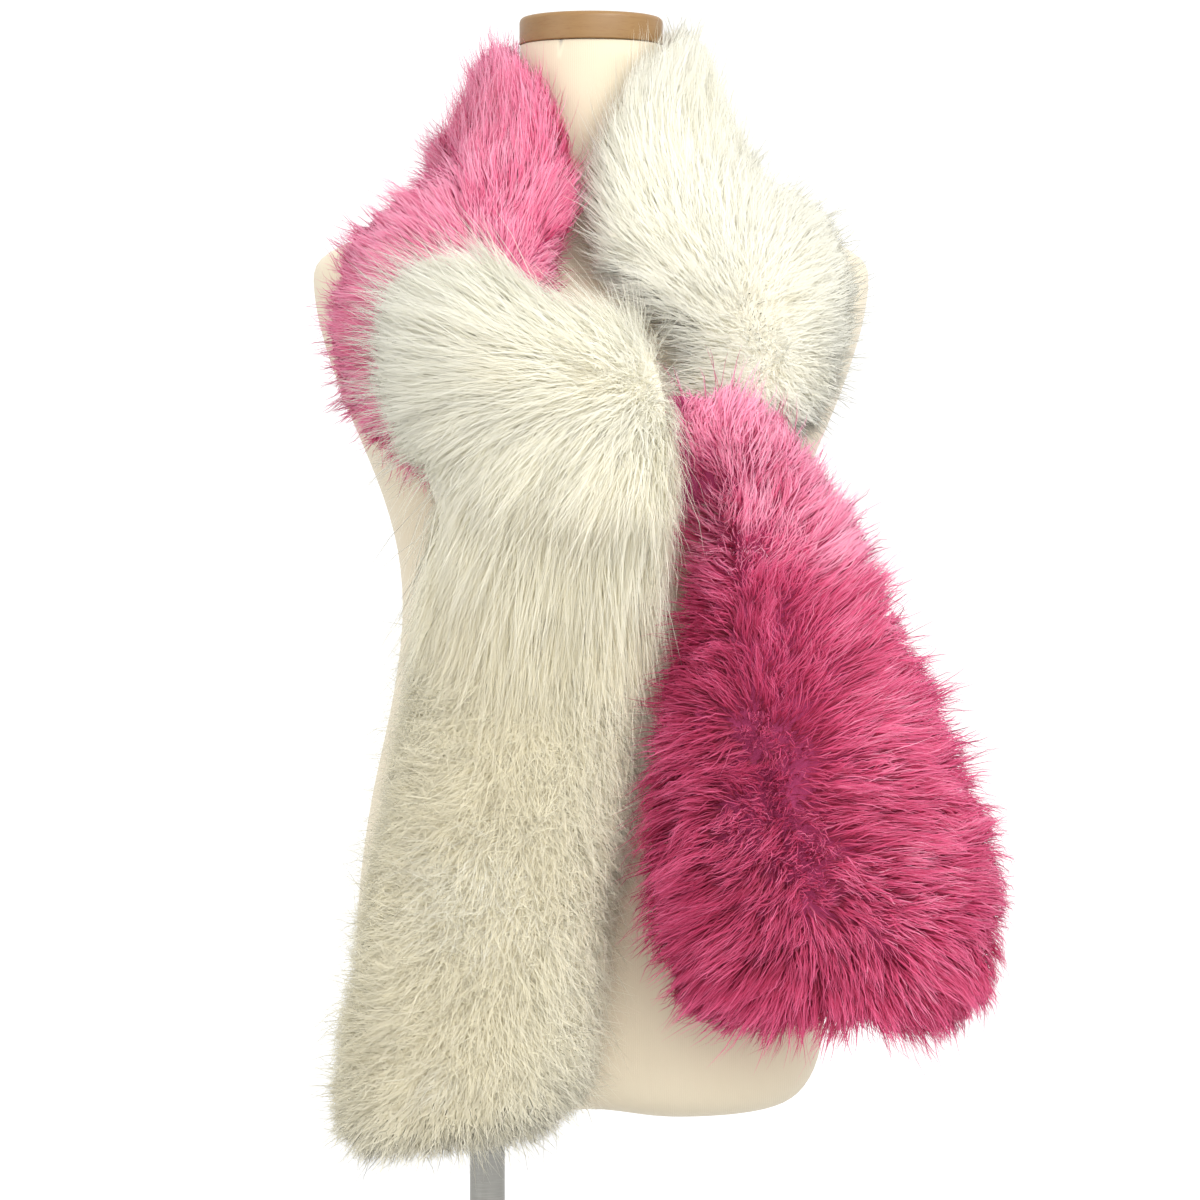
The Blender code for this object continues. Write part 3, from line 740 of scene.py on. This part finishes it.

# Pink half round the neck: the same cloth in rose pink, sewn to the white half in one seam at the
# nape.  Its nap runs up towards the nape, and the knot holds its lower end.
# The deepest tone of rose is painted shade and the palest is painted light, with the full pink between.
# In each tone the roots are darker than the tips: painted shade deep in the pile.
shaded_rose = [(0.0, (0.12, 0.002, 0.014)), (0.45, (0.28, 0.008, 0.046)), (1.0, (0.50, 0.030, 0.125))]
full_rose = [(0.0, (0.34, 0.011, 0.055)), (0.45, (0.72, 0.076, 0.21)), (1.0, (0.90, 0.24, 0.43))]
lit_rose = [(0.0, (0.70, 0.11, 0.24)), (0.45, (0.95, 0.39, 0.57)), (1.0, (0.99, 0.69, 0.81))]
levels = [(0.0, shaded_rose), (0.5, full_rose), (1.0, lit_rose)]
rose = fur_finish("rose_pile", levels, 0.35, (0.88, 0.16, 0.36))
rose_knit = knit_finish("rose_backing", (0.50, 0.07, 0.20), (0.32, 0.03, 0.11))
# Tones: painted light and shade, lower along the edge by the neck and at the bottom.
PINK_NECK_COMBS = [
    Comb(0.000, 0.950, 0.0, 1.0, 0.80),
    Comb(-0.040, 0.960, -0.1, 1.0, 0.80),
    Comb(-0.090, 0.940, -0.6, 0.8, 0.90),
    Comb(-0.020, 0.910, 0.3, 0.9, 0.60),
    Comb(-0.018, 0.860, 0.9, 0.4, 0.60),
    Comb(-0.035, 0.820, 0.9, 0.0, 0.70),
    Comb(-0.060, 0.885, -0.4, 0.9, 0.95),
    Comb(-0.110, 0.865, -0.7, 0.6, 0.90),
    Comb(-0.070, 0.835, -0.3, 0.8, 0.90),
    Comb(-0.115, 0.810, -0.8, 0.4, 0.70),
    Comb(-0.170, 0.790, -1.0, 0.2, 0.85),
    Comb(-0.165, 0.740, -1.0, -0.3, 0.75),
    Comb(-0.130, 0.705, -0.5, -0.9, 0.60),
    Comb(-0.105, 0.690, 0.0, -1.0, 0.80),
]
make_stretch(
    "pink_neck_stretch",
    combs=PINK_NECK_COMBS,
    pile=Pile(
        count=37000, bends=3, width=0.0006, depth=0.026, length=0.042,
        keep=0.45, off=0.012, lock=0.016, pull=0.28, wisp=0.45, uneven=0.009,
        rough=0.40, fuzz=0.12, spread=0.12, own_face=0.20, up=0.10,
    ),
    fur=rose,
    backing=rose_knit,
    seed=23,
)

# White half below the knot: it hangs free to just below the form, its end sewn shut.
# Tones: painted shade, darkest down the middle and lightest on the right, towards the main lamp.
WHITE_TAIL_COMBS = [
    Comb(-0.040, 0.600, 0.0, -1.0, 0.20),
    Comb(-0.120, 0.580, -0.9, -0.3, 0.30),
    Comb(0.040, 0.580, 0.8, -0.5, 0.50),
    Comb(-0.045, 0.500, 0.0, -0.7, 0.10),
    Comb(-0.130, 0.480, -1.0, 0.1, 0.20),
    Comb(0.035, 0.470, 0.8, -0.6, 0.50),
    Comb(-0.060, 0.400, -0.1, -0.7, 0.10),
    Comb(-0.150, 0.380, -1.0, 0.1, 0.20),
    Comb(0.015, 0.370, 0.8, -0.6, 0.50),
    Comb(-0.170, 0.290, -1.0, 0.0, 0.20),
    Comb(-0.080, 0.300, -0.1, -0.7, 0.10),
    Comb(0.000, 0.290, 0.8, -0.6, 0.50),
    Comb(-0.150, 0.240, -0.7, -0.7, 0.30),
    Comb(-0.090, 0.230, 0.0, -1.0, 0.20),
    Comb(-0.030, 0.250, 0.6, -0.8, 0.40),
]
make_stretch(
    "white_tail",
    combs=WHITE_TAIL_COMBS,
    pile=Pile(
        count=62000, bends=2, width=0.00045, depth=0.020, length=0.032,
        keep=0.50, off=0.014, lock=0.018, pull=0.03, wisp=0.04, uneven=0.002,
        rough=0.45, fuzz=0.50, spread=0.04, own_face=0.02, up=0.08,
    ),
    fur=ivory,
    backing=ivory_knit,
    seed=37,
    yellow_marks=[
        YellowMark(-0.099, 0.295, 0.009, 0.9),
        # painted shade: yellow where the tail comes out from under the knot flap
        YellowMark(-0.040, 0.600, 0.012, 0.5),
        YellowMark(-0.08, 0.42, 0.09, 0.16),
    ],
    trims=[Trim(-0.125, 0.640, 0.024, 0.042, 0.9)],
)

# Pink half after the knot: it comes out over the white stretch and hangs to the hip, spread wide,
# with its pile parted along the middle.  The end is sewn shut.
# Tones: painted light and shade, darkest along the parting, darker on the left half than the right and
# lightest at the top by the knot.
PINK_TAIL_COMBS = [
    Comb(0.060, 0.730, -0.3, 1.0, 1.10),
    Comb(0.110, 0.720, 0.3, 0.9, 1.10),
    Comb(0.160, 0.690, 0.8, 0.6, 1.00),
    Comb(0.060, 0.670, -0.8, 0.4, 0.60),
    Comb(0.120, 0.660, 0.3, 0.5, 0.90),
    Comb(0.190, 0.610, 0.9, 0.4, 0.60),
    Comb(0.060, 0.590, -1.0, 0.0, 0.15),
    Comb(0.100, 0.570, -0.5, 0.2, 0.00),
    Comb(0.150, 0.570, 0.8, 0.4, 0.45),
    Comb(0.220, 0.530, 1.0, 0.2, 0.50),
    Comb(0.050, 0.500, -1.0, -0.2, 0.20),
    Comb(0.110, 0.490, -0.6, -0.1, 0.00),
    Comb(0.170, 0.490, 0.9, 0.3, 0.45),
    Comb(0.060, 0.420, -0.9, -0.4, 0.20),
    Comb(0.120, 0.410, -0.6, -0.5, 0.10),
    Comb(0.180, 0.410, 0.7, -0.1, 0.35),
    Comb(0.250, 0.430, 1.0, 0.0, 0.50),
    Comb(0.080, 0.350, -0.7, -0.8, 0.25),
    Comb(0.150, 0.340, -0.2, -1.0, 0.25),
    Comb(0.210, 0.340, 0.5, -0.9, 0.35),
    Comb(0.265, 0.365, -0.1, -0.4, 0.45),
]
make_stretch(
    "pink_tail",
    combs=PINK_TAIL_COMBS,
    pile=Pile(
        count=39500, bends=3, width=0.0007, depth=0.027, length=0.048,
        keep=0.50, off=0.016, lock=0.018, pull=0.40, wisp=0.52, uneven=0.012,
        rough=0.45, fuzz=0.12, spread=0.14, own_face=0.35, up=0.06,
    ),
    fur=rose,
    backing=rose_knit,
    seed=41,
    trims=[
        Trim(0.070, 0.770, 0.026, 0.020, 0.85),
        Trim(0.052, 0.775, 0.022, 0.032, 0.9),
    ],
)

# White half over the knot: it comes up through the neck opening and flops over the crossing, so
# its pile is longest here, brushed away from the ridge both ways.
# Tones: painted shade, falling from the top of the flap to its lower end, which faces down.
FLAP_COMBS = [
    Comb(-0.110, 0.800, -0.9, 0.5, 1.00),
    Comb(-0.050, 0.815, -0.6, 0.8, 1.00),
    Comb(0.005, 0.808, -0.4, 0.9, 1.00),
    Comb(0.055, 0.790, 0.2, 1.1, 1.00),
    Comb(-0.135, 0.760, -1.0, 0.1, 0.95),
    Comb(-0.130, 0.720, -1.0, -0.4, 0.85),
    Comb(-0.115, 0.680, -0.7, -0.8, 0.70),
    Comb(-0.080, 0.780, -0.9, 0.5, 1.00),
    Comb(-0.075, 0.745, -1.0, -0.1, 0.95),
    Comb(-0.070, 0.705, -0.7, -0.7, 0.80),
    Comb(-0.025, 0.785, -0.8, 0.6, 0.95),
    Comb(0.020, 0.785, -0.5, 0.8, 0.95),
    Comb(-0.020, 0.758, -1.0, -0.2, 0.85),
    Comb(0.020, 0.758, -0.9, -0.3, 0.85),
    Comb(0.060, 0.790, 0.0, 0.9, 0.98),
    Comb(0.045, 0.768, -0.9, -0.1, 0.95),
    Comb(0.085, 0.765, 1.2, 0.1, 0.98),
    Comb(-0.020, 0.730, -0.5, -0.9, 0.75),
    Comb(0.030, 0.730, -0.2, -1.0, 0.75),
    Comb(0.070, 0.738, 0.1, -0.9, 0.85),
    Comb(-0.050, 0.690, -0.3, -1.0, 0.60),
    Comb(0.010, 0.690, -0.1, -1.0, 0.60),
    Comb(0.050, 0.690, 0.1, -1.0, 0.60),
    Comb(-0.090, 0.640, -0.3, -1.0, 0.35),
    Comb(-0.030, 0.640, 0.0, -1.0, 0.25),
    Comb(0.040, 0.640, 0.1, -1.0, 0.35),
]
make_stretch(
    "white_knot_flap",
    combs=FLAP_COMBS,
    pile=Pile(
        count=39500, bends=3, width=0.0006, depth=0.022, length=0.080,
        keep=0.85, off=0.032, lock=0.018, pull=0.10, wisp=0.16, uneven=0.005,
        rough=0.18, fuzz=0.18, spread=0.05, own_face=0.03, up=0.10,
    ),
    fur=ivory,
    backing=ivory_knit,
    seed=53,
    yellow_marks=[
        YellowMark(-0.040, 0.757, 0.022, 0.35),
        YellowMark(0.010, 0.755, 0.022, 0.40),
        YellowMark(0.045, 0.750, 0.018, 0.3),
    ],
    trims=[Trim(-0.125, 0.650, 0.026, 0.050, 0.9)],
)
for shape in outsides.values():
    shape.free()

# Floor, light and camera: a white table in a light tent, with the main lamp high on the right
# and two softer ones in front and on the left.  The camera looks level at the form's middle.
floor_shape = bmesh.new()
bmesh.ops.create_circle(floor_shape, cap_ends=True, segments=96, radius=1.2)
floor_mesh = bpy.data.meshes.new("floor")
floor_shape.to_mesh(floor_mesh)
floor_shape.free()
floor_mesh.transform(Matrix.Translation((0, 0, -0.0005)))
floor_finish = Finish("pale_floor", 0.8)
floor_finish.colour((0.66, 0.66, 0.65, 1.0))
floor_mesh.materials.append(floor_finish.material)
floor = bpy.data.objects.new("floor", floor_mesh)
bpy.context.scene.collection.objects.link(floor)

world = bpy.data.worlds.new("light_tent")
world.use_nodes = True
sky = world.node_tree
toward = sky.nodes.new("ShaderNodeTexCoord")
split = sky.nodes.new("ShaderNodeSeparateXYZ")
tent = sky.nodes.new("ShaderNodeValToRGB")
for element, (place, level) in zip(tent.color_ramp.elements, ((0.425, 0.45), (0.44, 1.0))):
    element.position = place
    element.color = (level, level, level * 0.99, 1.0)
lift = sky.nodes.new("ShaderNodeMapRange")
lift.inputs["From Min"].default_value = -1.0
for source, target in (
    (toward.outputs["Generated"], split.inputs[0]),
    (split.outputs["Z"], lift.inputs["Value"]),
    (lift.outputs[0], tent.inputs[0]),
    (tent.outputs[0], sky.nodes["Background"].inputs["Color"]),
):
    sky.links.new(source, target)
sky.nodes["Background"].inputs["Strength"].default_value = 1.18
bpy.context.scene.world = world
bpy.context.scene.view_settings.view_transform = "Standard"
bpy.context.scene.cycles.max_bounces = 12
bpy.context.scene.cycles.diffuse_bounces = 9


def lamp(name, place, target, size, power):
    """A soft square lamp aimed at a point."""
    data = bpy.data.lights.new(name, "AREA")
    data.shape = "SQUARE"
    data.size = size
    data.energy = power
    item = bpy.data.objects.new(name, data)
    item.location = place
    item.rotation_euler = (Vector(target) - Vector(place)).to_track_quat("-Z", "Y").to_euler()
    bpy.context.scene.collection.objects.link(item)


lamp("main_lamp", (1.3, -1.8, 2.2), (0.0, 0.0, 0.80), 1.4, 46.0)
lamp("front_lamp", (0.4, -3.3, 1.9), (0.0, 0.0, 0.80), 2.0, 28.0)
lamp("left_lamp", (-2.4, -1.8, 1.5), (0.0, 0.0, 0.75), 2.0, 18.0)

CAMERA_PLACE = (0.0061, -3.5, 0.6084)
VIEW_HEIGHT = 0.8196
camera_data = bpy.data.cameras.new("photo_camera")
camera_data.sensor_width = 36.0
camera_data.lens = 36.0 * -CAMERA_PLACE[1] / VIEW_HEIGHT
camera = bpy.data.objects.new("photo_camera", camera_data)
camera.location = CAMERA_PLACE
camera.rotation_euler = (math.pi / 2, 0, 0)
bpy.context.scene.collection.objects.link(camera)
bpy.context.scene.camera = camera
